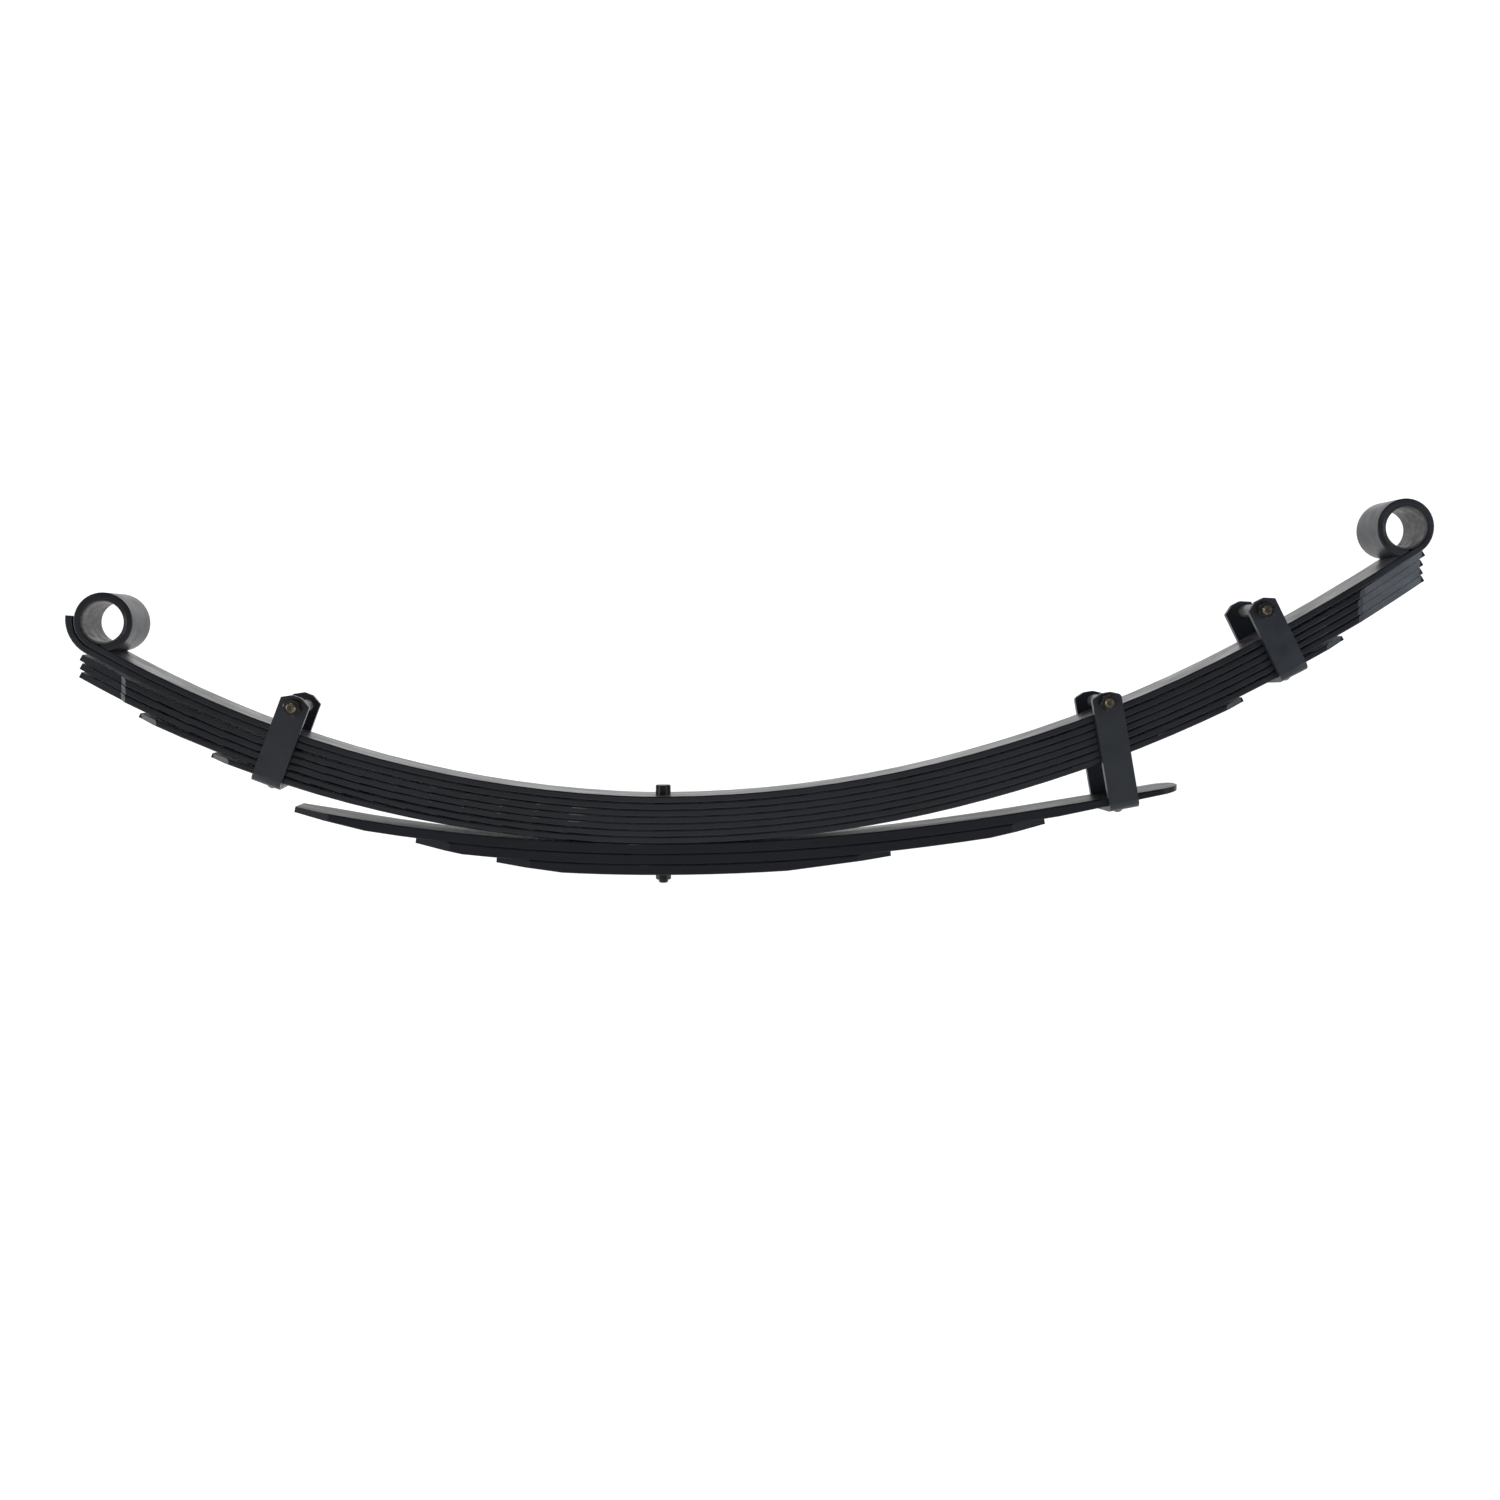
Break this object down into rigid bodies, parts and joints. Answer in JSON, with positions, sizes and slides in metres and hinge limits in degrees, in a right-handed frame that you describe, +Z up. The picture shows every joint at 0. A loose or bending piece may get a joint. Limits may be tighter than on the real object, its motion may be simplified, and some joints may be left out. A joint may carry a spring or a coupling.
{
  "type": "leaf spring",
  "caption": "Asymmetric semi-elliptic vehicle leaf spring with rolled eyes, a wrapper leaf, stepped thin leaves, thick overload leaves, bolted rebound clips and a centre bolt.",
  "frame": {"origin": "on the centre bolt's axis, at the main leaf's top face, where the axle's spring seat rests", "axes": "+X along the spring towards the longer rear half and its eye, +Y across the leaves along the eye axes, +Z up, out of the main leaf's hollow side"},
  "size_m": [1.4226, 0.0899, 0.4056],
  "materials": {
    "leaf_paint": "satin blue-black paint on rolled spring steel",
    "clip_paint": "satin black paint on bent steel bar",
    "dark_zinc": "dark plated hardware",
    "bright_steel": "bare grey steel",
    "eye_liner": "bare steel with light rust bloom"
  },
  "bodies": {
    "spring": {"main_leaf": "leaf_paint", "wrapper_leaf": "leaf_paint", "leaf_3": "leaf_paint", "leaf_4": "leaf_paint", "leaf_5": "leaf_paint", "leaf_6": "leaf_paint", "leaf_7": "leaf_paint", "overload_leaf_1": "leaf_paint", "overload_leaf_2": "leaf_paint", "overload_leaf_3": "leaf_paint", "front_clip_strap": "clip_paint", "front_clip_bolt": "dark_zinc", "front_clip_nut": "dark_zinc", "front_clip_rivet": "bright_steel", "middle_clip_strap": "clip_paint", "middle_clip_bolt": "dark_zinc", "middle_clip_nut": "dark_zinc", "middle_clip_rivet": "bright_steel", "rear_clip_strap": "clip_paint", "rear_clip_bolt": "dark_zinc", "rear_clip_nut": "dark_zinc", "rear_clip_rivet": "bright_steel", "centre_bolt": "dark_zinc", "centre_nut": "dark_zinc", "front_eye_sleeve": "eye_liner", "rear_eye_sleeve": "eye_liner"},
    "front_clip_roller": {"front_clip_spacer": "bright_steel"},
    "middle_clip_roller": {"middle_clip_spacer": "bright_steel"},
    "rear_clip_roller": {"rear_clip_spacer": "bright_steel"}
  },
  "joints": [
    {"name": "front_clip_roller_spin", "type": "hinge", "parent": "spring", "child": "front_clip_roller", "pos_m": [-0.38034, 0, 0.09352], "axis": [0, 1, 0], "continuous": true},
    {"name": "middle_clip_roller_spin", "type": "hinge", "parent": "spring", "child": "middle_clip_roller", "pos_m": [0.46514, 0, 0.0981], "axis": [0, 1, 0], "continuous": true},
    {"name": "rear_clip_roller_spin", "type": "hinge", "parent": "spring", "child": "rear_clip_roller", "pos_m": [0.62882, 0, 0.19455], "axis": [0, 1, 0], "continuous": true}
  ]
}
